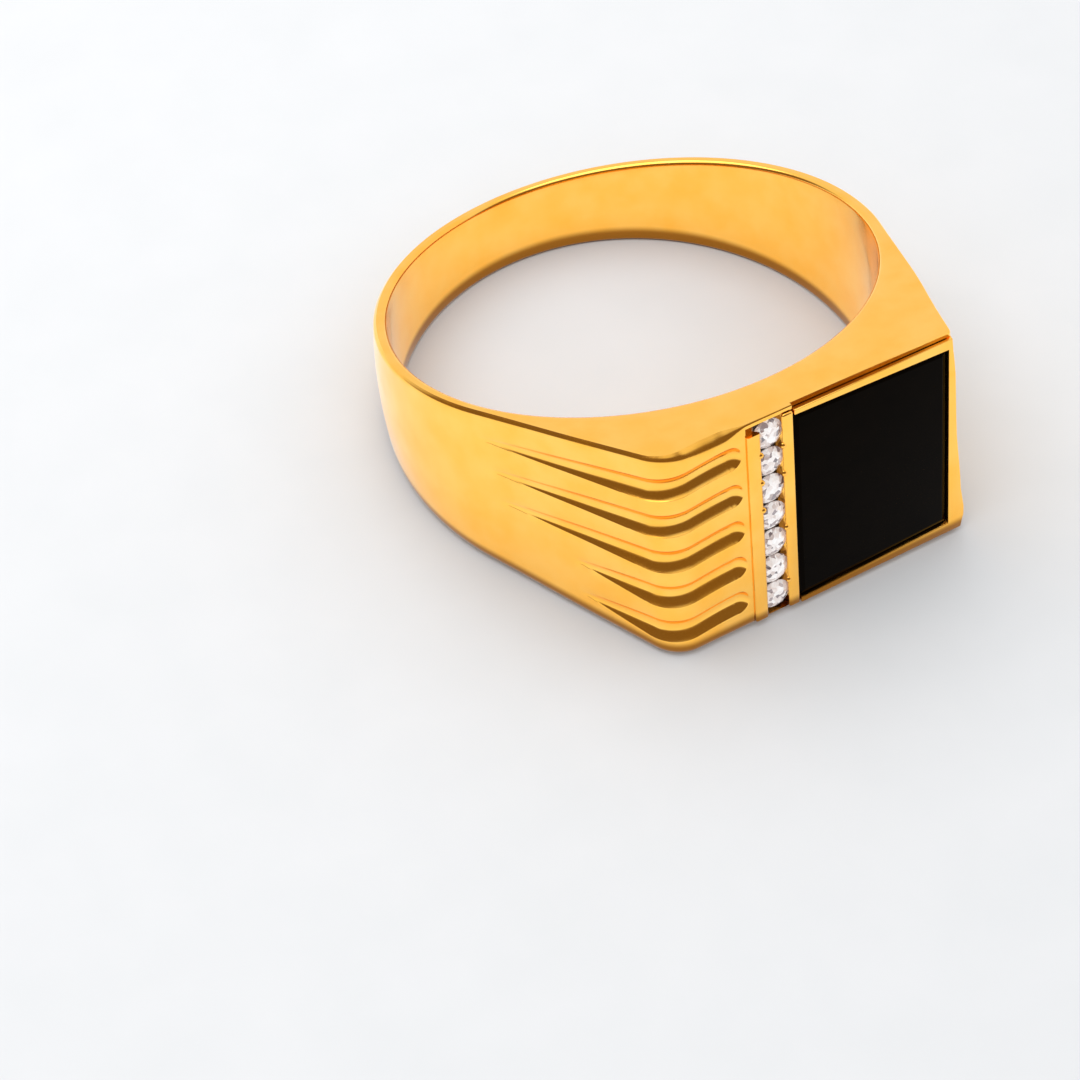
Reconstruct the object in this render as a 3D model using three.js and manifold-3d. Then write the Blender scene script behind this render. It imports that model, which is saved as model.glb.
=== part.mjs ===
// A man's signet ring: a cast gold shank with a fluted left shoulder, an inlaid black tablet in a gold
// bezel, and one row of seven round stones held in a channel between two rails.
//
// The pieces are modelled in the ring's own frame: the finger bore runs along Z through the origin,
// the head faces -Y, and +X is the wearer's side with the tablet. The two side faces of the ring are
// flat planes that open out towards the head. The whole ring is then laid down on its lower side face,
// with +Z up. Millimetres.
import * as THREE from "three";
import { mergeVertices } from "three/addons/utils/BufferGeometryUtils.js";
import Module from "manifold-3d";

const wasm = await Module();
wasm.setup();

// ---------------------------------------------------------------- driving dimensions

// Shank. Distances towards the head are measured from the bore's axis.
const BORE_RADIUS = 9.85;
const BAND_WALL = 0.6;
const BAND_HALF_WIDTH = 3.2; // level with the bore's axis
const SIDE_TAPER = 0.148; // how far each side face opens out for each millimetre towards the head
const FACE_WALL = 2.35; // from the bore to the fluted face
const LEFT_CORNER = 6.05; // bore axis to the corner of face and left shoulder
const LEFT_CORNER_RADIUS = 1.6;
const RIGHT_CORNER_RADIUS = 0.4;
const SIDE_PLATE = 0.2; // wall of the head above and below what is set in it

// Flutes: grooves of a ball-nosed cutter that enter on the shoulder and end beside the channel.
const FLUTE_RADIUS = 0.63;
const FLUTE_DEPTH = 0.32;
const FLUTE_SPREAD = 0.356; // spacing, as a share of the band's half width, so that the flutes fan out
// Distance towards the head where each flute enters, lowest first.
const FLUTE_ENTRIES = [7.8, 7.6, 4.8, 4.3, 4];
const FLUTES = FLUTE_ENTRIES.length;
const FLUTE_LAND = 0.15; // from the round end of each flute to the left rail

// Channel: two rails with the stones between them.
const RIM_STAND = 0.12; // how far the bezel and the rails stand proud of the fluted face
const CHANNEL_CENTRE = -1.42;
const LEFT_RAIL_WIDTH = 0.55;
const RIGHT_RAIL_WIDTH = 0.5;
const LEFT_RAIL_TOP_STEP = 0.35; // the left rail stops this much short of the upper side plate
const CHANNEL_DEPTH = 1.15;
const SEAT_THICKNESS = 0.45;

// Stones.
const STONES = 7;
const STONE_GAP = 0.035;
const STONE_END_GAP = 0.111; // from the row's ends to the ends of the rails
const STONE_GRIP = 0.17; // how far each stone's edge reaches into the rails
const STONE_RECESS = 0.1; // table below the rim
const TABLE_SHARE = 0.56;
const CROWN_SHARE = 0.15;
const GIRDLE_SHARE = 0.03;
const PAVILION_SHARE = 0.43;

// Bezel and tablet.
const BEZEL_FLOOR = 0.26;
const BEZEL_WALL_LEFT = 0.22; // upper and lower walls beside the channel, which thicken
const BEZEL_WALL_RIGHT = 0.46; // towards the right, so that the tablet narrows a little
const BEZEL_END = 0.36; // from the tablet's right edge to the corner of face and right shoulder
const TABLET_WIDTH = 6.94;
const TABLET_THICKNESS = 1.25;
const TABLET_RECESS = 0.08; // face of the tablet below the bezel's rim
const TABLET_BEVEL = 0.25;
const BEVEL_DROP = 0.1;
const CEMENT_THICKNESS = 0.08;
const CEMENT_MARGIN = 0.15; // from the cement to the tablet's edge

const CLEARANCE = 0.04; // the film of solder, cement or air between pieces that meet
const ARC_STEP = THREE.MathUtils.degToRad(5);
const CUTTER_SIDES = 14;
const NOSE_ANGLES = [80, 55, 30].map(THREE.MathUtils.degToRad); // rings of the cutter's ball nose
const SHOULDER_STEPS = 8;
const CORNER_STEPS = 6;
const STONE_SIDES = 16;
const GIRDLE_GROOVE_SLOPE = Math.tan(THREE.MathUtils.degToRad(40));
const SAME_POINT = 1e-4;
const BEYOND = 3; // how far a cutter runs past what it cuts
const OVER_JOIN = 0.3; // how far two cuts that meet run into each other

// ---------------------------------------------------------------- derived places

const SIDE_ANGLE = Math.atan(SIDE_TAPER);
const OUTER_RADIUS = BORE_RADIUS + BAND_WALL;
const FACE_DISTANCE = BORE_RADIUS + FACE_WALL;
const RIM_DISTANCE = FACE_DISTANCE + RIM_STAND;
const RAIL_LENGTH = 2 * (halfWidth(RIM_DISTANCE) - SIDE_PLATE - CLEARANCE);
const STONE_PITCH = (RAIL_LENGTH - 2 * STONE_END_GAP) / STONES;
const STONE_DIAMETER = STONE_PITCH - STONE_GAP;
const CHANNEL_WIDTH = STONE_DIAMETER - 2 * STONE_GRIP;
const CHANNEL_LEFT = CHANNEL_CENTRE - CHANNEL_WIDTH / 2;
const CHANNEL_RIGHT = CHANNEL_CENTRE + CHANNEL_WIDTH / 2;
const RAILS_LEFT = CHANNEL_LEFT - LEFT_RAIL_WIDTH;
const RAILS_RIGHT = CHANNEL_RIGHT + RIGHT_RAIL_WIDTH;
const FLUTE_END = FLUTE_LAND - RAILS_LEFT; // bore axis to the round end of each flute
const CHANNEL_FLOOR = RIM_DISTANCE - CHANNEL_DEPTH;
const TABLET_LEFT = RAILS_RIGHT + CLEARANCE;
const TABLET_RIGHT = TABLET_LEFT + TABLET_WIDTH;
const RIGHT_CORNER = TABLET_RIGHT + BEZEL_END;
const TABLET_FRONT = RIM_DISTANCE - TABLET_RECESS;
const TABLET_BACK = TABLET_FRONT - TABLET_THICKNESS;
const CEMENT_BACK = TABLET_BACK - CLEARANCE - CEMENT_THICKNESS;
const BEZEL_BACK = CEMENT_BACK - CLEARANCE - BEZEL_FLOOR;

// Half the ring's width across its flat side faces, at a distance towards the head.
function halfWidth(distance) {
  return BAND_HALF_WIDTH + SIDE_TAPER * distance;
}

// ---------------------------------------------------------------- solids

// A closed geometry as a manifold-3d solid.
function solid(geometry) {
  const bare = geometry.index ? geometry.toNonIndexed() : geometry.clone();
  bare.deleteAttribute("normal");
  bare.deleteAttribute("uv");
  const merged = mergeVertices(bare, SAME_POINT);
  return new wasm.Manifold(
    new wasm.Mesh({
      numProp: 3,
      vertProperties: merged.attributes.position.array,
      triVerts: new Uint32Array(merged.index.array),
    }),
  );
}

function named(name, made, material) {
  const mesh = made.getMesh();
  const geometry = new THREE.BufferGeometry();
  geometry.setAttribute("position", new THREE.BufferAttribute(mesh.vertProperties, 3));
  geometry.setIndex(new THREE.BufferAttribute(mesh.triVerts, 1));
  geometry.computeVertexNormals();
  const piece = new THREE.Mesh(geometry, material);
  piece.name = name;
  return piece;
}

// A block from four-cornered levels at several distances towards the head, the nearest to the bore
// first. Each is { distance, left, right, low, high }, where low and high are the heights at the left
// and right ends.
function stack(levels) {
  const corners = [];
  const faces = [];
  for (const { distance, left, right, low, high } of levels) {
    corners.push(left, -distance, low[0], right, -distance, low[1]);
    corners.push(right, -distance, high[1], left, -distance, high[0]);
  }
  for (let level = 1; level < levels.length; level += 1) {
    const near = 4 * (level - 1);
    for (let side = 0; side < 4; side += 1) {
      const next = (side + 1) % 4;
      faces.push(near + side, near + 4 + next, near + 4 + side);
      faces.push(near + side, near + next, near + 4 + next);
    }
  }
  const last = corners.length / 3 - 4;
  faces.push(0, 2, 1, 0, 3, 2);
  faces.push(last, last + 1, last + 2, last, last + 2, last + 3);
  const geometry = new THREE.BufferGeometry();
  geometry.setAttribute("position", new THREE.Float32BufferAttribute(corners, 3));
  geometry.setIndex(faces);
  return solid(geometry);
}

// A level of a block that reaches to an inset from the ring's side faces, at its left and right ends.
function levelAt(distance, left, right, insets) {
  const high = insets.map((inset) => halfWidth(distance) - inset);
  const low = high.map((height) => -height);
  return { distance, left, right, low, high };
}

// A block between two distances whose low and high faces run parallel to the ring's side faces, inset
// from them.
function wedgeBlock(left, right, back, front, inset) {
  return stack([back, front].map((distance) => levelAt(distance, left, right, [inset, inset])));
}

// ---------------------------------------------------------------- outline of the ring, seen along the bore

// The place where a line from a corner touches the band's outer circle.
function tangentAngle(corner, side) {
  return Math.atan2(corner.y, corner.x) + side * Math.acos(OUTER_RADIUS / corner.length());
}

// Where a corner's fillet starts, its centre and where it ends, between two straight edges.
function fillet(before, corner, after, radius) {
  const back = before.clone().sub(corner).normalize();
  const on = after.clone().sub(corner).normalize();
  const half = Math.acos(back.dot(on)) / 2;
  const middle = back.clone().add(on).normalize();
  return {
    start: corner.clone().addScaledVector(back, radius / Math.tan(half)),
    centre: corner.clone().addScaledVector(middle, radius / Math.sin(half)),
    end: corner.clone().addScaledVector(on, radius / Math.tan(half)),
  };
}

function angleFrom(centre, point) {
  return Math.atan2(point.y - centre.y, point.x - centre.x);
}

// The corners, tangent points and fillets of the outline, for a head whose face lies at the given
// distance.
function headPlan(face) {
  const left = new THREE.Vector2(-LEFT_CORNER, -face);
  const right = new THREE.Vector2(RIGHT_CORNER, -face);
  const leftAngle = tangentAngle(left, -1);
  const rightAngle = tangentAngle(right, 1);
  const onBand = (angle) => new THREE.Vector2(Math.cos(angle), Math.sin(angle)).multiplyScalar(OUTER_RADIUS);
  return {
    leftAngle,
    rightAngle,
    shoulder: onBand(leftAngle),
    leftFillet: fillet(onBand(leftAngle), left, right, LEFT_CORNER_RADIUS),
    rightFillet: fillet(left, right, onBand(rightAngle), RIGHT_CORNER_RADIUS),
  };
}

function outline(face) {
  const plan = headPlan(face);
  const shape = new THREE.Shape();
  shape.absarc(0, 0, OUTER_RADIUS, plan.rightAngle, plan.leftAngle + 2 * Math.PI, false);
  for (const { start, centre, end } of [plan.leftFillet, plan.rightFillet]) {
    const radius = start.distanceTo(centre);
    shape.absarc(centre.x, centre.y, radius, angleFrom(centre, start), angleFrom(centre, end), false);
  }
  return shape;
}

function extrudedOutline(shape) {
  const height = 2 * halfWidth(RIM_DISTANCE + BEYOND);
  const geometry = new THREE.ExtrudeGeometry(shape, {
    depth: height,
    bevelEnabled: false,
    curveSegments: Math.round(Math.PI / ARC_STEP),
  });
  geometry.translate(0, 0, -height / 2);
  return solid(geometry);
}

// ---------------------------------------------------------------- shank

// The groove of a ball-nosed cutter: a round bar along a path, with half a ball at each end.
function ballNosedCut(path, radius) {
  const sides = CUTTER_SIDES;
  const rings = [];
  const along = path.map((point, i) =>
    path[Math.min(i + 1, path.length - 1)].clone().sub(path[Math.max(i - 1, 0)]).normalize(),
  );
  const addRing = (centre, direction, ringRadius) => {
    const across = new THREE.Vector3(0, 0, 1).cross(direction).normalize();
    const up = direction.clone().cross(across);
    for (let i = 0; i < sides; i += 1) {
      const turn = (2 * Math.PI * i) / sides;
      const point = centre.clone();
      point.addScaledVector(across, ringRadius * Math.cos(turn));
      point.addScaledVector(up, ringRadius * Math.sin(turn));
      rings.push(point);
    }
  };
  const first = path[0];
  const last = path[path.length - 1];
  for (const a of NOSE_ANGLES) {
    addRing(first.clone().addScaledVector(along[0], -radius * Math.sin(a)), along[0], radius * Math.cos(a));
  }
  path.forEach((point, i) => addRing(point, along[i], radius));
  for (const a of [...NOSE_ANGLES].reverse()) {
    const direction = along[along.length - 1];
    addRing(last.clone().addScaledVector(direction, radius * Math.sin(a)), direction, radius * Math.cos(a));
  }
  const count = rings.length / sides;
  const faces = [];
  for (let ring = 1; ring < count; ring += 1) {
    for (let i = 0; i < sides; i += 1) {
      const next = (i + 1) % sides;
      const a = (ring - 1) * sides;
      const b = ring * sides;
      faces.push(a + i, a + next, b + next, a + i, b + next, b + i);
    }
  }
  for (let i = 1; i < sides - 1; i += 1) {
    faces.push(0, i + 1, i);
    faces.push((count - 1) * sides, (count - 1) * sides + i, (count - 1) * sides + i + 1);
  }
  const geometry = new THREE.BufferGeometry();
  geometry.setAttribute("position", new THREE.Float32BufferAttribute(rings.flatMap((p) => p.toArray()), 3));
  geometry.setIndex(faces);
  return solid(geometry);
}

// The cutter's path for one flute: along the shoulder while it sinks in, ever faster so that the
// groove widens evenly, then round the corner and across the face.
function flutePath(row, entry) {
  const plan = headPlan(FACE_DISTANCE);
  const { start, centre, end } = plan.leftFillet;
  const line = start.clone().sub(plan.shoulder).normalize();
  const outward = new THREE.Vector2(line.y, -line.x);
  const entryPoint = plan.shoulder.clone().addScaledVector(line, (-entry - plan.shoulder.y) / line.y);
  const flat = [];
  for (let i = 0; i < SHOULDER_STEPS; i += 1) {
    const share = i / SHOULDER_STEPS;
    const lift = FLUTE_RADIUS - FLUTE_DEPTH * share * share;
    flat.push(entryPoint.clone().lerp(start, share).addScaledVector(outward, lift));
  }
  const from = angleFrom(centre, start);
  const turn = angleFrom(centre, end) - from;
  const cutterCircle = LEFT_CORNER_RADIUS + FLUTE_RADIUS - FLUTE_DEPTH;
  for (let i = 0; i <= CORNER_STEPS; i += 1) {
    const angle = from + (turn * i) / CORNER_STEPS;
    flat.push(new THREE.Vector2(Math.cos(angle), Math.sin(angle)).multiplyScalar(cutterCircle).add(centre));
  }
  flat.push(new THREE.Vector2(-FLUTE_END - FLUTE_RADIUS, -FACE_DISTANCE - FLUTE_RADIUS + FLUTE_DEPTH));
  return flat.map(({ x, y }) => new THREE.Vector3(x, y, row * FLUTE_SPREAD * halfWidth(-y)));
}

function makeShank() {
  const shape = outline(FACE_DISTANCE);
  const bore = new THREE.Path();
  bore.absarc(0, 0, BORE_RADIUS, 0, 2 * Math.PI, true);
  shape.holes.push(bore);
  const reach = OUTER_RADIUS + BEYOND;
  let made = extrudedOutline(shape).intersect(wedgeBlock(-reach, reach, -reach, FACE_DISTANCE + BEYOND, 0));
  FLUTE_ENTRIES.forEach((entry, i) => {
    made = made.subtract(ballNosedCut(flutePath(i - (FLUTES - 1) / 2, entry), FLUTE_RADIUS));
  });
  const front = FACE_DISTANCE + BEYOND;
  const channel = wedgeBlock(
    RAILS_LEFT - CLEARANCE,
    RAILS_RIGHT + OVER_JOIN,
    CHANNEL_FLOOR - CLEARANCE,
    front,
    SIDE_PLATE,
  );
  const bezelPocket = wedgeBlock(
    RAILS_RIGHT,
    RIGHT_CORNER + BEYOND,
    BEZEL_BACK - CLEARANCE,
    front,
    SIDE_PLATE,
  );
  return made.subtract(channel).subtract(bezelPocket);
}

// ---------------------------------------------------------------- bezel, tablet and its cement

const TABLET_INSETS = [BEZEL_WALL_LEFT, BEZEL_WALL_RIGHT].map((wall) => SIDE_PLATE + wall + 2 * CLEARANCE);

// One level of the tablet, grown by a margin all round. Its edges have the same draft as the ring's
// side faces.
function tabletLevel(distance, margin) {
  const insets = TABLET_INSETS.map((inset) => inset - margin);
  return levelAt(distance, TABLET_LEFT - margin, TABLET_RIGHT + margin, insets);
}

// An open tray with three walls: the right rail of the channel closes its fourth side.
function makeBezel() {
  const block = wedgeBlock(
    TABLET_LEFT,
    RIGHT_CORNER + BEYOND,
    BEZEL_BACK,
    RIM_DISTANCE + BEYOND,
    SIDE_PLATE + CLEARANCE,
  );
  const ends = [CEMENT_BACK - CLEARANCE, RIM_DISTANCE + BEYOND];
  const opening = stack(ends.map((distance) => tabletLevel(distance, CLEARANCE)));
  return block.intersect(extrudedOutline(outline(RIM_DISTANCE))).subtract(opening);
}

function makeTablet() {
  return stack([
    tabletLevel(TABLET_BACK, 0),
    tabletLevel(TABLET_FRONT - BEVEL_DROP, 0),
    tabletLevel(TABLET_FRONT, -TABLET_BEVEL),
  ]);
}

function makeCement() {
  const margin = -CEMENT_MARGIN;
  return stack([tabletLevel(CEMENT_BACK, margin), tabletLevel(CEMENT_BACK + CEMENT_THICKNESS, margin)]);
}

// ---------------------------------------------------------------- channel and stones

const STONE_RADIUS = STONE_DIAMETER / 2;
const STONE_TABLE = RIM_DISTANCE - STONE_RECESS;
const GIRDLE_FRONT = STONE_TABLE - CROWN_SHARE * STONE_DIAMETER;
const GIRDLE_BACK = GIRDLE_FRONT - GIRDLE_SHARE * STONE_DIAMETER;
const CULET = GIRDLE_BACK - PAVILION_SHARE * STONE_DIAMETER;

// A brilliant as a turned form, grown by a margin all round, standing in the channel at one height.
function stoneForm(height, margin) {
  const profile = [
    [0, CULET - 2 * margin],
    [STONE_RADIUS + margin, GIRDLE_BACK - margin / 2],
    [STONE_RADIUS + margin, GIRDLE_FRONT + margin / 2],
    [TABLE_SHARE * STONE_RADIUS + margin, STONE_TABLE + margin],
    [0, STONE_TABLE + margin],
  ].map(([radius, distance]) => new THREE.Vector2(radius, distance));
  const geometry = new THREE.LatheGeometry(profile, STONE_SIDES);
  geometry.rotateX(Math.PI);
  geometry.translate(CHANNEL_CENTRE, 0, height);
  return solid(geometry);
}

function stoneHeight(index) {
  return (index - (STONES - 1) / 2) * STONE_PITCH;
}

function makeRail(left, right, topStep) {
  const body = wedgeBlock(left, right, CHANNEL_FLOOR, RIM_DISTANCE, SIDE_PLATE + CLEARANCE);
  const top = halfWidth(RIM_DISTANCE) - SIDE_PLATE - CLEARANCE - topStep;
  const level = (distance) => ({
    distance,
    left: left - BEYOND,
    right: right + BEYOND,
    low: [top, top],
    high: [top + BEYOND, top + BEYOND],
  });
  // The groove that holds the girdles: a square bar on edge, as wide as the stones and a little more.
  const reach = STONE_RADIUS + CLEARANCE;
  const girdle = (GIRDLE_FRONT + GIRDLE_BACK) / 2;
  const shape = new THREE.Shape();
  shape.moveTo(CHANNEL_CENTRE + reach, -girdle);
  shape.lineTo(CHANNEL_CENTRE, -girdle + reach * GIRDLE_GROOVE_SLOPE);
  shape.lineTo(CHANNEL_CENTRE - reach, -girdle);
  shape.lineTo(CHANNEL_CENTRE, -girdle - reach * GIRDLE_GROOVE_SLOPE);
  const bar = extrudedOutline(shape);
  const above = stack([level(CHANNEL_FLOOR - BEYOND), level(RIM_DISTANCE + BEYOND)]);
  return (topStep > 0 ? body.subtract(above) : body).subtract(bar);
}

// The drilled strip under the stones.
function makeSeat() {
  let made = wedgeBlock(
    CHANNEL_LEFT + CLEARANCE,
    CHANNEL_RIGHT - CLEARANCE,
    CHANNEL_FLOOR,
    CHANNEL_FLOOR + SEAT_THICKNESS,
    SIDE_PLATE + CLEARANCE,
  );
  for (let i = 0; i < STONES; i += 1) {
    made = made.subtract(stoneForm(stoneHeight(i), CLEARANCE));
  }
  return made;
}

// ---------------------------------------------------------------- assembly

const polishedGold = { color: 0xffc25a, metalness: 1, roughness: 0.16 };
const ring = new THREE.Group();
ring.name = "signet_ring";

const gold = () => new THREE.MeshStandardMaterial(polishedGold);
ring.add(named("shank", makeShank(), gold()));
ring.add(named("bezel", makeBezel(), gold()));
ring.add(named("rail_left", makeRail(RAILS_LEFT, CHANNEL_LEFT, LEFT_RAIL_TOP_STEP), gold()));
ring.add(named("rail_right", makeRail(CHANNEL_RIGHT, RAILS_RIGHT, 0), gold()));
ring.add(named("channel_seat", makeSeat(), gold()));

const onyx = new THREE.MeshStandardMaterial({ color: 0x070605, metalness: 0, roughness: 0.06 });
ring.add(named("onyx_tablet", makeTablet(), onyx));
const cement = new THREE.MeshStandardMaterial({ color: 0x2c2a26, metalness: 0, roughness: 0.6 });
ring.add(named("onyx_cement", makeCement(), cement));

for (let i = 0; i < STONES; i += 1) {
  const clear = new THREE.MeshStandardMaterial({ color: 0xf1eeee, metalness: 0, roughness: 0.03 });
  ring.add(named("stone_" + (i + 1), stoneForm(stoneHeight(i), 0), clear));
}

// Laid on its lower side face, then moved so that the origin is at the bottom centre of the box round
// it.
ring.rotation.x = -SIDE_ANGLE;
const lying = new THREE.Group();
lying.add(ring);
const box = new THREE.Box3().setFromObject(lying, true);
ring.position.set(
  -(box.min.x + box.max.x) / 2,
  -(box.min.y + box.max.y) / 2,
  -box.min.z,
);

export default lying;
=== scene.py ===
# %% [markdown]
# # A man's signet ring in polished gold
# This lesson models the looks of a signet ring: a cast gold shank with a fluted left shoulder, a black
# onyx tablet in a gold bezel, and a channel of seven small clear stones. The CAD model of the ring comes
# first, as a frame that fixes every size. Each piece is then modelled again, more finely, in the same
# place.
#
# All sizes below are in millimetres, as a goldsmith measures, and `MM` turns them into Blender's metres.

# %% Load the frame
import math

import bpy
import numpy as np
from mathutils import Matrix, Vector


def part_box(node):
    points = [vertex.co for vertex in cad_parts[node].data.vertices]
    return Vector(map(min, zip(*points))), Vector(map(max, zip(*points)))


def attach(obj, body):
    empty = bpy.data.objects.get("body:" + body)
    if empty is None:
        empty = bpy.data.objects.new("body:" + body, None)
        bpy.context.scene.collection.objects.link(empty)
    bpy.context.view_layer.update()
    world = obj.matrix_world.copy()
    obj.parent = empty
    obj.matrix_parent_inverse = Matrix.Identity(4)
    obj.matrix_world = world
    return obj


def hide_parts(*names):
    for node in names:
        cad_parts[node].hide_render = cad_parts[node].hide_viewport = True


MM = 0.001
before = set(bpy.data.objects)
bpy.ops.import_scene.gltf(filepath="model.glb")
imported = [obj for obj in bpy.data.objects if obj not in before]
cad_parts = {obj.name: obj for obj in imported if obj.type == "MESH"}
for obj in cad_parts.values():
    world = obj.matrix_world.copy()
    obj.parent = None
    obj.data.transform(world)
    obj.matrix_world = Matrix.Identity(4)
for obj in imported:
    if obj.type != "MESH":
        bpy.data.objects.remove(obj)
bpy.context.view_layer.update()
print("the CAD nodes are", ", ".join(sorted(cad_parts)))

# %% [markdown]
# ## The camera
# A ring is small, so the camera comes close to it, with a long lens that keeps its proportions calm. The
# camera stands in front, to the left and well above, and is a little tilted. It is so close that the near
# clipping distance has to come down from Blender's 100 mm.

# %% The camera
CAMERA_PLACE = (-46.81, -71.40, 89.18)
CAMERA_TURN = math.radians(-30.19)
CAMERA_RISE = math.radians(48.63)
CAMERA_TILT = math.radians(-0.91)

camera_data = bpy.data.cameras.new("camera")
camera_data.sensor_width = 36
camera_data.lens = 100
camera_data.clip_start = 1 * MM
camera = bpy.data.objects.new("camera", camera_data)
bpy.context.scene.collection.objects.link(camera)
camera.matrix_world = (
    Matrix.Translation(Vector(CAMERA_PLACE) * MM)
    @ Matrix.Rotation(CAMERA_TURN, 4, "Z")
    @ Matrix.Rotation(math.pi / 2 - CAMERA_RISE, 4, "X")
    @ Matrix.Rotation(CAMERA_TILT, 4, "Z")
)
bpy.context.scene.camera = camera
print("the camera stands", round(Vector(CAMERA_PLACE).length), "mm from the ring")

# %% [markdown]
# ## Nodes and colours
# Every material below is built from nodes. One helper adds a node with its settings and links, and one
# turns the hex value of a colour, as it is read off a screen, into the linear numbers that Blender
# computes with.

# %% Helpers for materials
def linear(hex_value):
    channels = [int(hex_value[start : start + 2], 16) / 255 for start in (1, 3, 5)]
    return tuple(c / 12.92 if c <= 0.04045 else ((c + 0.055) / 1.055) ** 2.4 for c in channels) + (1.0,)


def add_node(tree, kind, inputs=None, **settings):
    """Adds a node. An input's value is a number, a colour, or another node's output socket."""
    node = tree.nodes.new(kind)
    for name, value in settings.items():
        setattr(node, name, value)
    for name, value in (inputs or {}).items():
        if isinstance(value, bpy.types.NodeSocket):
            tree.links.new(value, node.inputs[name])
        else:
            node.inputs[name].default_value = value
    return node


def new_material(name):
    material = bpy.data.materials.new(name)
    material.use_nodes = True
    tree = material.node_tree
    tree.nodes.clear()
    return material, tree


# %% [markdown]
# ## The light
# Polished gold has no colour of its own apart from what it mirrors, so the light is modelled with the
# ring. A white room all round gives the even yellow of the flat faces. The side of the room in front of
# the ring has to be dark, though: without it the flutes would vanish. So the world is white, with one
# soft dark patch above and in front, as a person at the camera would make. It is fixed in the room, and
# doesn't follow the camera. Only what mirrors it sees the patch, so that the board under the ring is lit
# evenly.

# %% The world
ROOM_COLOUR = "#FFFFFF"
ROOM_STRENGTH = 1.03
DARK_COLOUR = "#7E6848"
DARK_MIDDLE = math.radians(220)
DARK_HALF_WIDTH = 92
DARK_LOWEST, DARK_HIGHEST = 1, 66
SIDE_FADE = (14, -6)  # degrees outside and inside the patch's sides where it starts and is full
LOW_FADE = 5
HIGH_FADE = 8

world = bpy.data.worlds.new("studio")
bpy.context.scene.world = world
world.use_nodes = True
sky = world.node_tree
sky.nodes.clear()
direction = add_node(sky, "ShaderNodeTexCoord").outputs["Generated"]
level = add_node(sky, "ShaderNodeVectorMath", {0: direction, 1: (1, 1, 0)}, operation="MULTIPLY")
compass = add_node(sky, "ShaderNodeVectorMath", {0: level.outputs["Vector"]}, operation="NORMALIZE")
towards = (math.cos(DARK_MIDDLE), math.sin(DARK_MIDDLE), 0)
facing = add_node(
    sky, "ShaderNodeVectorMath", {0: compass.outputs["Vector"], 1: towards}, operation="DOT_PRODUCT"
)
rise = add_node(sky, "ShaderNodeSeparateXYZ", {"Vector": direction}).outputs["Z"]


def soft_limit(value, none, full):
    """0 on one side of a limit and 1 on the other, with a soft change between."""
    return add_node(
        sky,
        "ShaderNodeMapRange",
        {"Value": value, "From Min": none, "From Max": full},
        interpolation_type="SMOOTHSTEP",
    ).outputs["Result"]


def degrees_up(angle):
    return math.sin(math.radians(angle))


around = soft_limit(
    facing.outputs["Value"],
    math.cos(math.radians(DARK_HALF_WIDTH + SIDE_FADE[0])),
    math.cos(math.radians(DARK_HALF_WIDTH + SIDE_FADE[1])),
)
above = soft_limit(rise, degrees_up(DARK_LOWEST - LOW_FADE), degrees_up(DARK_LOWEST + LOW_FADE))
below = soft_limit(rise, degrees_up(DARK_HIGHEST + HIGH_FADE), degrees_up(DARK_HIGHEST - HIGH_FADE))
band = add_node(sky, "ShaderNodeMath", {0: above, 1: below}, operation="MULTIPLY")
all_round = add_node(sky, "ShaderNodeMath", {0: band.outputs["Value"], 1: around}, operation="MULTIPLY")
in_mirrors = add_node(sky, "ShaderNodeLightPath").outputs["Is Glossy Ray"]
patch = add_node(sky, "ShaderNodeMath", {0: all_round.outputs["Value"], 1: in_mirrors}, operation="MULTIPLY")
room = add_node(
    sky,
    "ShaderNodeMix",
    {0: patch.outputs["Value"], 6: linear(ROOM_COLOUR), 7: linear(DARK_COLOUR)},
    data_type="RGBA",
)
light = add_node(sky, "ShaderNodeBackground", {"Color": room.outputs[2], "Strength": ROOM_STRENGTH})
add_node(sky, "ShaderNodeOutputWorld", {"Surface": light.outputs["Background"]})
bpy.context.scene.view_settings.view_transform = "Standard"
print("the world is white, with a dark patch from", DARK_LOWEST, "to", DARK_HIGHEST, "degrees up")

# %% [markdown]
# A large round softbox hangs behind the ring and to the left. It is the key light: it gives the shadow a
# side without hard edges, and a long clean highlight on the edges that face it.

# %% The softbox
SOFTBOX_SIZE = 150
SOFTBOX_PLACE = (-24, 46, 125)
SOFTBOX_WATTS = 0.1

softbox_data = bpy.data.lights.new("softbox", "AREA")
softbox_data.shape = "DISK"
softbox_data.size = SOFTBOX_SIZE * MM
softbox_data.energy = SOFTBOX_WATTS
softbox = bpy.data.objects.new("softbox", softbox_data)
bpy.context.scene.collection.objects.link(softbox)
softbox.location = Vector(SOFTBOX_PLACE) * MM
softbox.rotation_euler = Vector(SOFTBOX_PLACE).to_track_quat("Z", "Y").to_euler()
print("the softbox is", SOFTBOX_SIZE, "mm across")

# %% [markdown]
# ## The floor
# The ring lies on one of its flat side faces, on a pale matt board. The floor is one plane, added with an
# operator, and its paint has only a faint unevenness, so that it stays plain. Gold mirrors the board
# close beneath it, where its own shadow falls. In a studio a white card is slid in there. The same is
# done here with a little light of the board's own, which shows only in what mirrors it.

# %% Helpers for pieces
def deselect_all():
    """Operators act on all that is selected, and the frame leaves its own pieces selected."""
    if bpy.context.object and bpy.context.object.mode != "OBJECT":
        bpy.ops.object.mode_set(mode="OBJECT")
    bpy.ops.object.select_all(action="DESELECT")


def activate(piece):
    deselect_all()
    piece.select_set(True)
    bpy.context.view_layer.objects.active = piece


def apply_place(piece):
    activate(piece)
    bpy.ops.object.transform_apply(location=True, rotation=True, scale=True)


deselect_all()
FLOOR_SIZE = 900
bpy.ops.mesh.primitive_plane_add(size=FLOOR_SIZE * MM)
floor = bpy.context.object
floor.name = "floor"

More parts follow.
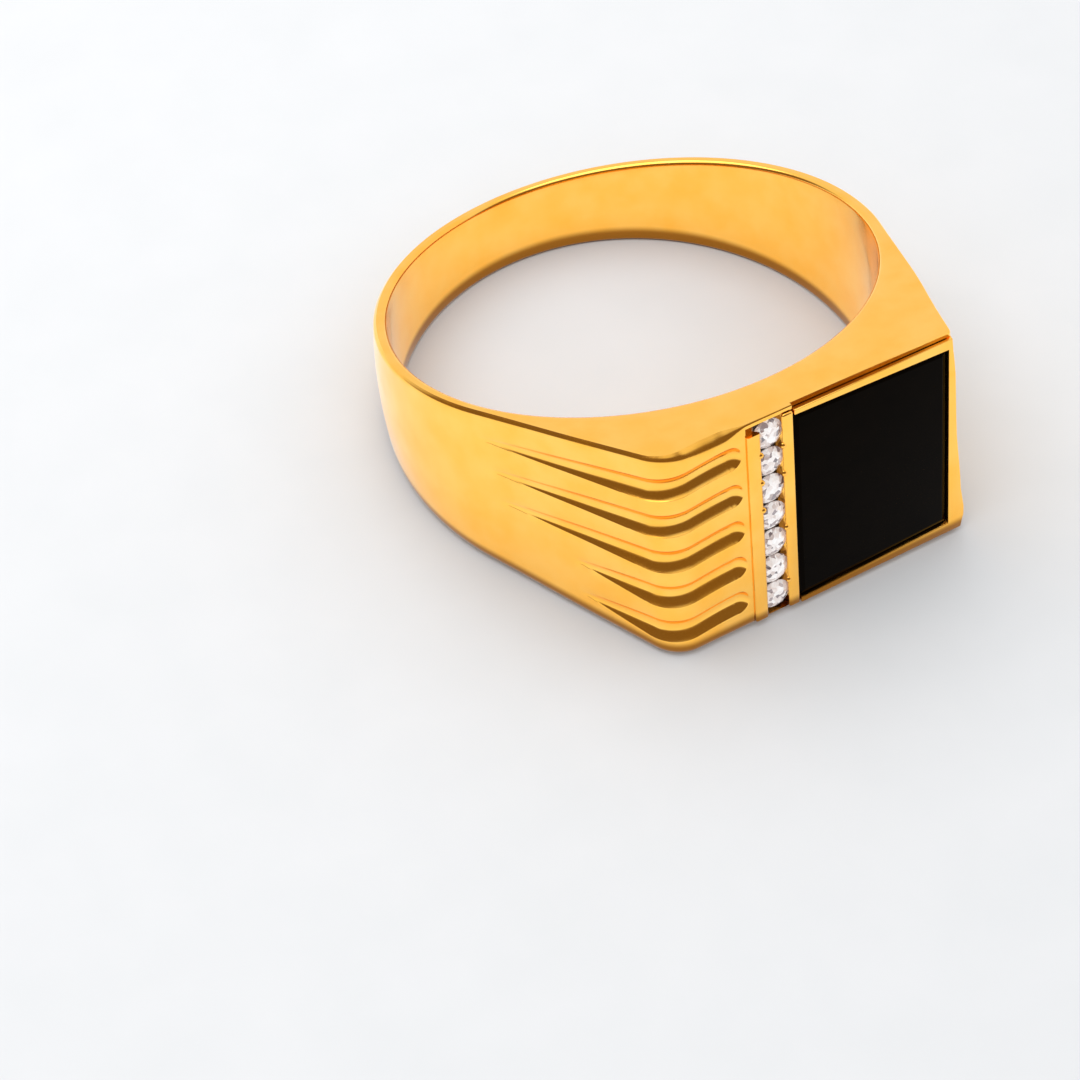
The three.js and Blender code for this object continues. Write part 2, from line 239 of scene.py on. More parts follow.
BOARD_LIFT = 0.29
BOARD_GRAIN = 4
paint, tree = new_material("matt_white_board")
grain = add_node(tree, "ShaderNodeTexNoise", {"Scale": 1 / (BOARD_GRAIN * MM), "Detail": 3.0})
tone = add_node(
    tree,
    "ShaderNodeMix",
    {0: grain.outputs["Fac"], 6: linear("#D0D2D4"), 7: linear("#D6D7D9")},
    data_type="RGBA",
)
board = add_node(tree, "ShaderNodeBsdfPrincipled", {"Base Color": tone.outputs[2], "Roughness": 0.7})
board.inputs["Specular IOR Level"].default_value = 0.2
board.inputs["Emission Color"].default_value = linear("#FFFFFF")
mirrored = add_node(tree, "ShaderNodeLightPath").outputs["Is Glossy Ray"]
lift = add_node(tree, "ShaderNodeMath", {0: mirrored, 1: BOARD_LIFT}, operation="MULTIPLY")
tree.links.new(lift.outputs["Value"], board.inputs["Emission Strength"])
add_node(tree, "ShaderNodeOutputMaterial", {"Surface": board.outputs["BSDF"]})
floor.data.materials.append(paint)
print("the floor is", FLOOR_SIZE, "mm across")

# %% [markdown]
# ## The gold
# The ring is cast in 14-carat yellow gold and then polished on a felt wheel. A metal mirrors in its own
# colour, so the base colour is the yellow of the flat faces. A cast and hand-polished face is never quite
# even: it has slow waves a few millimetres long, hairline scratches that follow the finger's movement,
# and slightly duller areas. All three are drawn here from real sizes. Low down, near the board, the gold
# is painted a darker brown. This is painted shade for the dark gap under the ring, which its rounded lower
# edge mirrors. Scratches are only a hundredth of a millimetre wide, so they are drawn three times as coarse
# to show at all.

# %% Polished gold
GOLD = "#FFC45D"
GOLD_DEEP = "#FFBC4B"
# Painted shade: the brown that the gold turns low down, and the heights in mm where it begins and where it is
# full.
GOLD_PAINTED_SHADE = "#9C6622"
PAINTED_SHADE_FROM = 0.8
PAINTED_SHADE_FULL_BELOW = 0.42
WAVE_LENGTH = 2.6
WAVE_HEIGHT = 0.05
PATCH_SIZE = 1.5
SCRATCH_WIDTH = 0.03
SCRATCH_STRETCH = 14


def polished_gold(name, scratch_axis):
    """Gold whose scratches run along one axis: "X", "Y" or "Z"."""
    material, tree = new_material(name)
    place = add_node(tree, "ShaderNodeTexCoord").outputs["Object"]
    scale = [1 / (SCRATCH_WIDTH * MM)] * 3
    scale["XYZ".index(scratch_axis)] /= SCRATCH_STRETCH
    stretched = add_node(tree, "ShaderNodeMapping", {"Vector": place, "Scale": scale})
    scratches = add_node(
        tree, "ShaderNodeTexNoise", {"Vector": stretched.outputs["Vector"], "Scale": 1.0, "Detail": 2.0}
    )
    hairlines = add_node(
        tree, "ShaderNodeMapRange", {"Value": scratches.outputs["Fac"], "From Min": 0.6, "From Max": 0.75}
    )
    waves = add_node(
        tree, "ShaderNodeTexNoise", {"Vector": place, "Scale": 1 / (WAVE_LENGTH * MM), "Detail": 1.0}
    )
    patches = add_node(
        tree, "ShaderNodeTexNoise", {"Vector": place, "Scale": 1 / (PATCH_SIZE * MM), "Detail": 5.0}
    )
    tones = add_node(
        tree, "ShaderNodeMapRange", {"Value": patches.outputs["Fac"], "From Min": 0.35, "From Max": 0.68}
    )
    clean = add_node(
        tree,
        "ShaderNodeMix",
        {0: tones.outputs["Result"], 6: linear(GOLD), 7: linear(GOLD_DEEP)},
        data_type="RGBA",
    )
    # Painted shade: low down, near the board, the gold is darkened to a brown. It stands for the dark gap under
    # the ring, which its rounded lower edge mirrors.
    height = add_node(tree, "ShaderNodeSeparateXYZ", {"Vector": place}).outputs["Z"]
    painted_shade = add_node(
        tree,
        "ShaderNodeMapRange",
        {"Value": height, "From Min": PAINTED_SHADE_FROM * MM, "From Max": PAINTED_SHADE_FULL_BELOW * MM},
        interpolation_type="SMOOTHSTEP",
    )
    colour = add_node(
        tree,
        "ShaderNodeMix",
        {0: painted_shade.outputs["Result"], 6: clean.outputs[2], 7: linear(GOLD_PAINTED_SHADE)},
        data_type="RGBA",
    )
    dullness = add_node(
        tree,
        "ShaderNodeMapRange",
        {"Value": patches.outputs["Fac"], "From Min": 0.3, "From Max": 0.7, "To Min": 0.10, "To Max": 0.2},
    )
    unevenness = add_node(
        tree,
        "ShaderNodeBump",
        {"Height": waves.outputs["Fac"], "Distance": WAVE_HEIGHT * MM, "Strength": 0.8},
    )
    surface = add_node(
        tree,
        "ShaderNodeBump",
        {
            "Height": hairlines.outputs["Result"],
            "Distance": 0.001 * MM,
            "Strength": 0.5,
            "Normal": unevenness.outputs["Normal"],
        },
    )
    metal = add_node(
        tree,
        "ShaderNodeBsdfPrincipled",
        {
            "Base Color": colour.outputs[2],
            "Metallic": 1.0,
            "Roughness": dullness.outputs["Result"],
            "Normal": surface.outputs["Normal"],
        },
    )
    add_node(tree, "ShaderNodeOutputMaterial", {"Surface": metal.outputs["BSDF"]})
    return material


shank_gold = polished_gold("polished_gold_shank", "X")
setting_gold = polished_gold("polished_gold_setting", "Z")
print("two polished golds, with hairlines along X and along Z")

# %% [markdown]
# ## The ring's own frame
# It is easiest to model a ring round its finger hole: the bore runs along Z through the origin, and the
# head faces -Y. The two side faces are planes that open out towards the head. The finished pieces are
# then laid down on the lower side face, by turning them through the angle of that face.

# %% Sizes of the ring
BORE_RADIUS = 9.85
BAND_RADIUS = 10.45
HALF_WIDTH = 3.2
SIDE_TAPER = 0.148
FACE = 12.2
RIM = 12.32
LEFT_CORNER = 6.05
RIGHT_CORNER = 6.9
LEFT_ROUNDING = 1.6
RIGHT_ROUNDING = 0.4
SIDE_ANGLE = math.atan(SIDE_TAPER)
BORE_CENTRE = (-0.0007, 1.1543, 3.1655)
LAY_DOWN = Matrix.Translation(Vector(BORE_CENTRE) * MM) @ Matrix.Rotation(-SIDE_ANGLE, 4, "X")


def half_width(y):
    """Half the distance between the side faces; y is negative towards the head."""
    return HALF_WIDTH - SIDE_TAPER * y


shank_low, shank_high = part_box("shank")
print("the shank of the frame is", [round(size / MM, 2) for size in shank_high - shank_low], "mm")

# %% [markdown]
# ## The shank: its outline
# Seen along the finger hole, the ring is a circle at the back. Two straight shoulders run off it to a
# flat face, with a generous rounding at the left corner and a small one at the right. The outline is
# walked round as a list of places, closer together where the flutes need fine detail. Each place keeps
# its outward direction.

# %% The outline
def touching_angle(corner, side):
    """Where a straight line from a corner touches the band's circle."""
    return math.atan2(corner[1], corner[0]) + side * math.acos(BAND_RADIUS / math.hypot(*corner))


def rounding(before, corner, after, radius):
    """The start, centre and end of a rounded corner."""
    back = (before - corner).normalized()
    on = (after - corner).normalized()
    half = back.angle(on) / 2
    return (
        corner + back * radius / math.tan(half),
        corner + (back + on).normalized() * radius / math.sin(half),
        corner + on * radius / math.tan(half),
    )


left_corner, right_corner = Vector((-LEFT_CORNER, -FACE)), Vector((RIGHT_CORNER, -FACE))
left_angle, right_angle = touching_angle(left_corner, -1), touching_angle(right_corner, 1)
left_touch = Vector((math.cos(left_angle), math.sin(left_angle))) * BAND_RADIUS
right_touch = Vector((math.cos(right_angle), math.sin(right_angle))) * BAND_RADIUS
left_start, left_centre, left_end = rounding(left_touch, left_corner, right_corner, LEFT_ROUNDING)
right_start, right_centre, right_end = rounding(left_corner, right_corner, right_touch, RIGHT_ROUNDING)


def along_line(start, end, count):
    outward = (end - start).orthogonal().normalized()
    outward = outward if outward.dot(start) > 0 else -outward
    return [(start.lerp(end, i / count), outward) for i in range(count)]


def along_arc(start, centre, end, count):
    spokes = start - centre, end - centre
    turn = spokes[0].angle_signed(spokes[1])
    places = []
    for i in range(count):
        spoke = Matrix.Rotation(-turn * i / count, 2) @ spokes[0]
        places.append((centre + spoke, spoke.normalized()))
    return places


FLUTE_STOP = -3.23
NOSE_BEFORE, NOSE_AFTER = 0.1, 0.8  # how far round the stop the places are closest together
before_stop, after_stop = Vector((FLUTE_STOP - NOSE_BEFORE, -FACE)), Vector((FLUTE_STOP + NOSE_AFTER, -FACE))
outline = along_line(left_touch, left_start, 44)
outline += along_arc(left_start, left_centre, left_end, 20)
outline += along_line(left_end, before_stop, 8)
outline += along_line(before_stop, after_stop, 22)
outline += along_line(after_stop, right_start, 12)
outline += along_arc(right_start, right_centre, right_end, 8)
outline += along_line(right_end, right_touch, 16)
PLACES = 256  # the most that a torus can have
BACK_STEPS = PLACES - len(outline)
back_turn = (left_angle - right_angle) % (2 * math.pi)
for i in range(BACK_STEPS):
    angle = right_angle + back_turn * i / BACK_STEPS
    spoke = Vector((math.cos(angle), math.sin(angle)))
    outline.append((spoke * BAND_RADIUS, spoke))
print("the outline has", len(outline), "places")
print("the face runs from x =", round(left_end.x, 2), "to", round(right_start.x, 2), "mm")

# %% [markdown]
# ## The shank: its flutes
# Five grooves run from the left shoulder round the corner and end in round noses beside the channel, as a
# ball-nosed cutter leaves them. Each starts as a narrow tip and grows wider and deeper up to the corner.
# A boolean cut would give them hard edges and ragged ends where they fade out. Instead each groove has
# its own lines of vertices, whose spacing follows the width of the groove, so that its edges are always
# on a line and stay clean in a mirror finish.

# %% The flutes
FLUTE_RADIUS = 0.63
FLUTE_DEPTH = 0.32
FLUTE_SPREAD = 0.356
FLUTE_ENTRIES = [8.2, 8.0, 4.8, 4.4, 4.0]
TIP_SHARE = 0.3
DEEPENING = 1.25  # over 1: a flute deepens slowly at first
FLUTE_ROWS = [-2, -1, 0, 1, 2]
FLUTE_RISE = 0.25
FLUTE_DROOP = 0.12
RISE_FROM = 1.2
EDGE_SOFTNESS = 0.02
NARROWEST = 0.1
FULL_CUT = 0.02  # the depth from which a groove has its whole form
BEYOND = 0.9  # farther than this from its middle, no groove cuts
HALF_ACROSS = [0.25, 0.5, 0.7, 0.85, 0.95, 1.0, 1.04, 1.12]  # shares of half a groove's width
ACROSS = [-share for share in HALF_ACROSS[::-1]] + [0] + HALF_ACROSS


def smooth_step(value, low, high):
    share = min(max((value - low) / (high - low), 0), 1)
    return share * share * (3 - 2 * share)


def flute_at(row, entry, x, y):
    """Height of a groove's middle, its depth there and half its width, at a place of the outline."""
    lift = smooth_step(x, left_end.x - RISE_FROM, FLUTE_STOP) * smooth_step(-y, 8, 11)
    height = row * FLUTE_SPREAD * half_width(y) - FLUTE_DROOP * smooth_step(-y, 0, 8) + FLUTE_RISE * lift
    share = min(max((-y - entry) / (-left_start.y - entry), 0), 1)
    depth = FLUTE_DEPTH * share**DEEPENING if x < 0 and y < 0 else 0
    radius = FLUTE_RADIUS * (TIP_SHARE + (1 - TIP_SHARE) * share)
    if x > FLUTE_STOP and y < 0:
        radius = math.sqrt(max(FLUTE_RADIUS**2 - (x - FLUTE_STOP) ** 2, 0))
        depth = radius - (FLUTE_RADIUS - FLUTE_DEPTH)
    width = math.sqrt(max(radius**2 - max(radius - depth, 0) ** 2, 0)) if depth > 0 else 0
    return height, depth, max(width, NARROWEST), radius


def groove_depth(across, depth, radius):
    """The round groove, with its edges a little softened."""
    if depth <= 0:
        return 0
    raw = math.sqrt(max(radius**2 - across**2, 0)) - (radius - depth)
    soft = (raw + math.sqrt(raw**2 + EDGE_SOFTNESS**2)) / 2
    return soft * min(depth / FULL_CUT, 1) if abs(across) < BEYOND else 0


print(len(FLUTE_ROWS), "flutes,", len(ACROSS), "lines of vertices each")

# %% [markdown]
# ## The shank: its section
# At each place of the outline the ring has a section: an outer face, two flat side faces and the bore.
# The outer face of the band is slightly crowned. Its upper edge is rolled over but meets the flat side
# face in a crisp crease, which gives the long dark line above the flutes, and its lower edge is fully
# rounded. A torus has just the right net for this, rings of vertices one way and sections the other, so
# the shank starts as a torus, and each vertex then goes to the place of its section.

# %% The sections
CROWN = 0.16
CREASE = math.radians(47)
BORE_EDGE = 0.2
BORE_EDGE_STEPS = 4
LAND_STEPS = 4
OUTER_LAND_STEPS = 6
EDGE_STEPS = 6
SIDE_STEPS = 6
BORE_STEPS = 12
LOWER_ROLL = 0.42
UPPER_ROLL, UPPER_ROLL_GROWTH = 0.16, 0.1
UPPER_SLOPE = 0.09
CORNER_ROLL, CORNER_SLOPE = 0.26, 0.13  # added where the head turns its left corner
HEAD_ROLL_LOSS, HEAD_SLOPE_LOSS = 0.6, 0.85  # shares by which both shrink along the flat head
HEAD_FROM = (-3.4, -2.2)  # from here to there in x the flat head takes over
CORNER_FROM, CORNER_UP_TO = (-6.4, -4.2), (-3.6, -2.4)
FLARE_FROM, FLARE_NEAR_FACE = (5.5, 6.6), (7, 10.5)  # in x, and in distance towards the face
FLARE_LEAN = 0.022
FLARE_STEPS = [  # each goes out by so many mm, from one distance below the middle to another
    (0.12, -4.9, -2.9),
    (0.15, -0.5, 2.6),
    (0.14, 2.6, 4),
    (-0.2, 4, 4.95),
]


def right_flare(height):
    """How far the right end of the head leans out: it is widest at its lower corner."""
    steps = [out * smooth_step(-height, start, end) for out, start, end in FLARE_STEPS]
    return sum(steps) - FLARE_LEAN * height


def head_share(y):
    return smooth_step(-y, 4, 9)


def section(place, outward):
    """The loop of places round one section: down the outer face, in below, up the bore and out above."""
    x, y = place
    inward = -Vector((x, y)).normalized()
    along_head = (smooth_step(x, *HEAD_FROM) if x < 0 else 1) * smooth_step(-y, 0, 6)
    past_corner = smooth_step(x, *CORNER_FROM) * (1 - smooth_step(x, *CORNER_UP_TO)) * smooth_step(-y, 9, 11.5)
    upper_roll = UPPER_ROLL + UPPER_ROLL_GROWTH * smooth_step(-y, -2, 11)
    upper_roll = upper_roll * (1 - HEAD_ROLL_LOSS * along_head) + CORNER_ROLL * past_corner
    upper_slope = UPPER_SLOPE * (1 - HEAD_SLOPE_LOSS * along_head) + CORNER_SLOPE * past_corner
    half = half_width(y)
    roll_top = half - upper_slope * math.cos(CREASE)
    upper_start = roll_top - upper_roll * math.sin(CREASE)
    lower_start = -half + LOWER_ROLL
    roll_inset = upper_roll * (1 - math.cos(CREASE))
    slope_inset = upper_slope * math.sin(CREASE)
    columns = [(half, roll_inset + slope_inset), ((half + roll_top) / 2, roll_inset + slope_inset / 2)]
    for i in range(EDGE_STEPS):
        a = CREASE * (1 - i / EDGE_STEPS)
        columns.append((upper_start + upper_roll * math.sin(a), upper_roll * (1 - math.cos(a))))
    flutes = [flute_at(row, entry, x, y) for row, entry in zip(FLUTE_ROWS, FLUTE_ENTRIES)][::-1]
    above = upper_start
    for number, (height, depth, width, radius) in enumerate(flutes):
        first = height + width * ACROSS[-1]
        steps = OUTER_LAND_STEPS if number == 0 else LAND_STEPS
        columns += [(above + (first - above) * i / steps, 0) for i in range(steps)]
        for across in ACROSS[::-1]:
            columns.append((height + across * width, groove_depth(across * width, depth, radius)))
        above = columns.pop()[0]
    columns += [(above + (lower_start - above) * i / OUTER_LAND_STEPS, 0) for i in range(OUTER_LAND_STEPS)]
    for i in range(EDGE_STEPS + 1):
        a = math.pi / 2 * i / EDGE_STEPS
        columns.append((lower_start - LOWER_ROLL * math.sin(a), LOWER_ROLL * (1 - math.cos(a))))
    crown = CROWN * (1 - head_share(y))
    loop = []
    for height, inset in columns:
        bulge = crown * (0.5 - (height / half) ** 2) if crown else 0
        point = place + outward * (bulge - inset)
        lean = right_flare(height) * smooth_step(x, *FLARE_FROM) * smooth_step(-y, *FLARE_NEAR_FACE)
        loop.append((point.x + lean, point.y, height * half_width(point.y) / half))
    outer_top, outer_low = Vector(loop[0][:2]), Vector(loop[-1][:2])
    bore = -inward * BORE_RADIUS
    bore_edge = bore - inward * BORE_EDGE
    for i in range(1, SIDE_STEPS):
        spot = outer_low.lerp(bore_edge, i / SIDE_STEPS)
        loop.append((spot.x, spot.y, -half_width(spot.y)))
    low, high = -half_width(bore.y) + BORE_EDGE, half_width(bore.y) - BORE_EDGE
    for i in range(BORE_EDGE_STEPS):
        a = math.pi / 2 * i / BORE_EDGE_STEPS
        spot = bore_edge + inward * BORE_EDGE * math.sin(a)
        loop.append((spot.x, spot.y, -half_width(spot.y) + BORE_EDGE * (1 - math.cos(a))))
    loop += [(bore.x, bore.y, low + (high - low) * i / BORE_STEPS) for i in range(BORE_STEPS)]
    for i in range(BORE_EDGE_STEPS):
        a = math.pi / 2 * i / BORE_EDGE_STEPS
        spot = bore_edge + inward * BORE_EDGE * math.cos(a)
        loop.append((spot.x, spot.y, half_width(spot.y) - BORE_EDGE * (1 - math.sin(a))))
    for i in range(SIDE_STEPS):
        spot = bore_edge.lerp(outer_top, i / SIDE_STEPS)
        loop.append((spot.x, spot.y, half_width(spot.y)))
    return loop


sections = np.array([section(place, outward) for place, outward in outline])
print("each section has", sections.shape[1], "vertices")

# %% The shank from a torus
deselect_all()
bpy.ops.mesh.primitive_torus_add(
    major_segments=sections.shape[0],
    minor_segments=sections.shape[1],
    major_radius=(BORE_RADIUS + BAND_RADIUS) / 2 * MM,
    minor_radius=HALF_WIDTH * MM,
)
shank = bpy.context.object
shank.name = "shank_polished"
shank.data.vertices.foreach_set("co", (sections * MM).astype(np.float32).ravel())
shank.data.update()
activate(shank)
bpy.ops.object.mode_set(mode="EDIT")
bpy.ops.mesh.select_all(action="SELECT")
bpy.ops.mesh.normals_make_consistent(inside=False)
bpy.ops.object.mode_set(mode="OBJECT")
print("the shank has", len(shank.data.polygons), "faces before its pockets are cut")

# %% [markdown]
# ## The shank: its pockets
# A deep pocket holds the bezel and a narrower slot holds the channel. They are cut with Boolean
# modifiers, which leave the sharp edges that a graver leaves. A cutter is a cube whose upper and lower
# faces are set parallel to the ring's side faces.

# %% Wedges and cuts
SIDE_PLATE = 0.2
CLEARANCE = 0.04
CHANNEL_LEFT, CHANNEL_RIGHT = -1.9, -0.94
RAILS_LEFT, RAILS_RIGHT = -2.45, -0.44
CHANNEL_FLOOR = RIM - 1.15
BEZEL_BACK = RIM - 1.75


def wedge(name, left, right, back, front, inset):
    """A block whose upper and lower faces run parallel to the side faces of the ring, inset from them."""
    deselect_all()
    bpy.ops.mesh.primitive_cube_add(
        size=1,
        location=((left + right) / 2 * MM, -(back + front) / 2 * MM, 0),
        scale=((right - left) * MM, (front - back) * MM, 2 * MM),
    )
    block = bpy.context.object
    block.name = name
    apply_place(block)
    for vertex in block.data.vertices:
        half = half_width(vertex.co.y / MM) - inset
        vertex.co.z = math.copysign(half, vertex.co.z) * MM
    return block


def combine(piece, tool, operation="DIFFERENCE"):
    """Applies a Boolean modifier and deletes the tool."""
    activate(piece)
    modifier = piece.modifiers.new("cut", "BOOLEAN")
    modifier.operation = operation
    modifier.solver = "EXACT"
    modifier.object = tool
    bpy.ops.object.modifier_apply(modifier=modifier.name)
    bpy.data.objects.remove(tool)


def smooth_edges(piece, angle=30):
    activate(piece)
    bpy.ops.object.shade_smooth_by_angle(angle=math.radians(angle))


OUT = FACE + 2  # how far forward the cutters reach
OVER_JOIN = 0.3  # how far two cuts that meet run into each other
slot_left, slot_right = RAILS_LEFT - CLEARANCE, RAILS_RIGHT + OVER_JOIN
combine(shank, wedge("slot", slot_left, slot_right, CHANNEL_FLOOR - CLEARANCE, OUT, SIDE_PLATE))
combine(shank, wedge("pocket", RAILS_RIGHT, RIGHT_CORNER + 3, BEZEL_BACK - CLEARANCE, OUT, SIDE_PLATE))

# The upper plate stands back from the bezel, most at its left end, so that a groove tapers to a slit at
# the right.
GROOVE_LEFT_DEPTH, GROOVE_RIGHT_DEPTH = 0.16, 0.04
groove = wedge("groove", RAILS_RIGHT, RIGHT_CORNER + 1, FACE - GROOVE_LEFT_DEPTH, OUT, 0)
for vertex in groove.data.vertices:
    x, y, z = vertex.co / MM
    if x > 0 and y > -FACE:
        y = -(FACE - GROOVE_RIGHT_DEPTH)
    vertex.co = Vector((x, y, half_width(y) - SIDE_PLATE - 0.1 if z < 0 else z + 1)) * MM
combine(shank, groove)
smooth_edges(shank)
print("the shank has", len(shank.data.polygons), "faces")

# %% Lay the pieces down
def lay_down(piece, material, slot, *nodes):
    """Puts a finished piece in its place in the frame, in place of its CAD nodes."""
    piece.data.transform(LAY_DOWN)
    piece.data.materials.clear()
    piece.data.materials.append(material)
    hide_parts(*nodes)
    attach(piece, "root")
    print(piece.name, "stands for", ", ".join(nodes), "with", len(piece.data.polygons), "faces")


lay_down(shank, shank_gold, "polished_gold", "shank")


# %% [markdown]
# ## The bezel
# The onyx lies in a tray of gold with three walls: the right-hand rail of the channel closes its fourth
# side. The tray starts as a wedge-shaped block. Its right side is slanted to follow the shoulder, the
# opening is cut with a second block, and all edges are rounded with a Bevel modifier, because polishing
# never leaves a sharp one.

# %% Sizes of the tablet and its bezel
BEZEL_WALLS = (0.22, 0.46)  # at the left and right ends
CEMENT_ROOM = 0.16
TABLET_LEFT = RAILS_RIGHT + CLEARANCE
TABLET_RIGHT = TABLET_LEFT + 6.94
TABLET_FRONT = RIM - 0.08
TABLET_BACK = TABLET_FRONT - 1.25
TABLET_INSETS = [SIDE_PLATE + wall + 2 * CLEARANCE for wall in BEZEL_WALLS]


def move_vertices(piece, move):
    """Sends each vertex, in millimetres, through a function of its place."""
    for vertex in piece.data.vertices:
        vertex.co = Vector(move(*(vertex.co / MM))) * MM


def tablet_block(name, back, front, margin):
    """The outline of the tablet, grown by a margin. It narrows a little towards the right."""
    left, right = TABLET_LEFT - margin, TABLET_RIGHT + margin
    block = wedge(name, left, right, back, front, 0)

    def narrow(x, y, z):
        inset = TABLET_INSETS[0 if x < 0 else 1] - margin
        return x, y, math.copysign(half_width(y) - inset, z)

    move_vertices(block, narrow)
    return block


def add_bevel(piece, width, segments=3, angle=30):
    activate(piece)
    modifier = piece.modifiers.new("rounded edges", "BEVEL")
    modifier.width = width * MM
    modifier.segments = segments
    modifier.limit_method = "ANGLE"
    modifier.angle_limit = math.radians(angle)
    modifier.miter_outer = "MITER_ARC"
    bpy.ops.object.modifier_apply(modifier=modifier.name)


def cut_flat(piece, place, normal, clear=False):
    """Slices all of a piece along a plane, which adds a line of vertices, or takes away what is beyond it."""
    activate(piece)
    bpy.ops.object.mode_set(mode="EDIT")
    bpy.ops.mesh.select_all(action="SELECT")
    bpy.ops.mesh.bisect(
        plane_co=Vector(place) * MM, plane_no=normal, use_fill=clear, clear_outer=clear, threshold=1e-7
    )
    bpy.ops.object.mode_set(mode="OBJECT")


# %% The bezel
bezel = wedge("bezel_polished", TABLET_LEFT, RIGHT_CORNER + 0.1, BEZEL_BACK, RIM, SIDE_PLATE + CLEARANCE)
shoulder = (right_touch - right_end).normalized()
SET_BACK = 0.02
BEZEL_CUTS = (-4.5, -4.2, -3.8, -3.3, -2.8, -2.2, -1.5, -0.8, 0, 1, 2, 3, 3.6, 4.2)
FLARED_FROM = 6.58  # the bezel's right wall lies beyond this


def on_shoulder(x, y, z):
    if x > 0:
        x = right_corner.x + (y + FACE) * shoulder.x / shoulder.y - SET_BACK
    return x, y, z


move_vertices(bezel, on_shoulder)
combine(bezel, tablet_block("opening", TABLET_BACK - CEMENT_ROOM, RIM + 1, CLEARANCE))
for height in BEZEL_CUTS:
    cut_flat(bezel, (0, 0, height), (0, 0, 1))
move_vertices(bezel, lambda x, y, z: (x + (right_flare(z) if x > FLARED_FROM else 0), y, z))
add_bevel(bezel, 0.07)
smooth_edges(bezel, 35)
lay_down(bezel, setting_gold, "polished_gold", "bezel")

# %% [markdown]
# ## The onyx tablet
# Black onyx is a dyed chalcedony, cut flat and polished on a lap, with a narrow bevel round its face. It
# looks black all over, with hardly a gleam, so its mirroring is turned far down. A block is given the
# bevel with an edit-mode operator on its front edges only.

# %% Polished onyx
VEIL_SIZE = 0.9
LAP_MARK = 0.12
onyx, tree = new_material("polished_black_onyx")
place = add_node(tree, "ShaderNodeTexCoord").outputs["Object"]
veils = add_node(tree, "ShaderNodeTexNoise", {"Vector": place, "Scale": 1 / (VEIL_SIZE * MM), "Detail": 3.0})
depth_tone = add_node(
    tree,
    "ShaderNodeMix",
    {0: veils.outputs["Fac"], 6: linear("#040302"), 7: linear("#0B0704")},
    data_type="RGBA",
)
lap_marks = add_node(tree, "ShaderNodeTexNoise", {"Vector": place, "Scale": 1 / (LAP_MARK * MM), "Detail": 2.0})
lap_relief = add_node(
    tree, "ShaderNodeBump", {"Height": lap_marks.outputs["Fac"], "Distance": 0.001 * MM, "Strength": 0.3}
)
stone_skin = add_node(
    tree,
    "ShaderNodeBsdfPrincipled",
    {
        "Base Color": depth_tone.outputs[2],
        "Roughness": 0.12,
        "IOR": 1.54,
        "Specular IOR Level": 0.02,
        "Specular Tint": linear("#8A7058"),
        "Normal": lap_relief.outputs["Normal"],
    },
)
add_node(tree, "ShaderNodeOutputMaterial", {"Surface": stone_skin.outputs["BSDF"]})

# %% The tablet
TABLET_BEVEL = 0.22
BEVEL_DROP = 0.1
tablet = tablet_block("onyx_tablet_polished", TABLET_BACK, TABLET_FRONT, 0)
activate(tablet)
bpy.ops.object.mode_set(mode="EDIT")
bpy.ops.mesh.select_all(action="DESELECT")
bpy.ops.object.mode_set(mode="OBJECT")
front = min(tablet.data.polygons, key=lambda face: face.center.y)
front.select = True
bpy.ops.object.mode_set(mode="EDIT")
bpy.ops.mesh.inset(thickness=TABLET_BEVEL * MM, depth=0)
bpy.ops.object.mode_set(mode="OBJECT")
front_line = min(vertex.co.y for vertex in tablet.data.vertices)
inner = {index for face in tablet.data.polygons if face.select for index in face.vertices}
for vertex in tablet.data.vertices:
    if vertex.index not in inner and vertex.co.y < front_line + 0.01 * MM:
        vertex.co.y += BEVEL_DROP * MM
add_bevel(tablet, 0.03, 2, 10)
smooth_edges(tablet, 15)
lay_down(tablet, onyx, "black_onyx", "onyx_tablet")

# %% [markdown]
# ## The rails of the channel
# Two upright strips of gold hold the stones between them: the edge of each stone sits in a groove cut
# along the rail's inner side. Each strip is a wedge block, with the groove cut by a square bar on edge
# and rounded edges. The left one stops short of the top. Small beads of gold, raised with a graver, reach
# over the edges of the stones.

# %% The rails
STONES = 7
STONE_SIZE = 1.3
STONE_PITCH = 1.335
STONE_TABLE = RIM - 0.1
CROWN_HEIGHT = 0.15 * STONE_SIZE
HALF_GIRDLE = 0.015 * STONE_SIZE
GIRDLE = STONE_TABLE - CROWN_HEIGHT - HALF_GIRDLE
CHANNEL_MIDDLE = (CHANNEL_LEFT + CHANNEL_RIGHT) / 2
RAIL_TOP_STEP = 0.35
BEAD_RADIUS = 0.14
BEAD_INSET = 0.02  # its middle lies so far in from the rail's inner side
BEAD_SINK = 0.09


def stone_height(number):
    return (number - (STONES - 1) / 2) * STONE_PITCH


def girdle_bar():
    """A square bar on edge, which cuts the groove for the stones in both rails."""
    reach = STONE_SIZE / 2 + 0.05
    deselect_all()
    bpy.ops.mesh.primitive_cylinder_add(
        vertices=4, radius=reach * MM, depth=14 * MM, location=(CHANNEL_MIDDLE * MM, -GIRDLE * MM, 0)
    )
    bar = bpy.context.object
    apply_place(bar)
    return bar


def rail(name, left, right, beads, side):
    strip = wedge(name, left, right, CHANNEL_FLOOR, RIM, SIDE_PLATE + CLEARANCE)
    add_bevel(strip, 0.1, 4)
    bead_x = right - BEAD_INSET if side < 0 else left + BEAD_INSET
    for height in beads:
        deselect_all()
        bpy.ops.mesh.primitive_uv_sphere_add(
            segments=24,
            ring_count=16,
            radius=BEAD_RADIUS * MM,
            location=(bead_x * MM, -(RIM - BEAD_SINK) * MM, height * MM),
        )
        apply_place(bpy.context.object)
        combine(strip, bpy.context.object, "UNION")
    combine(strip, girdle_bar())
    return strip


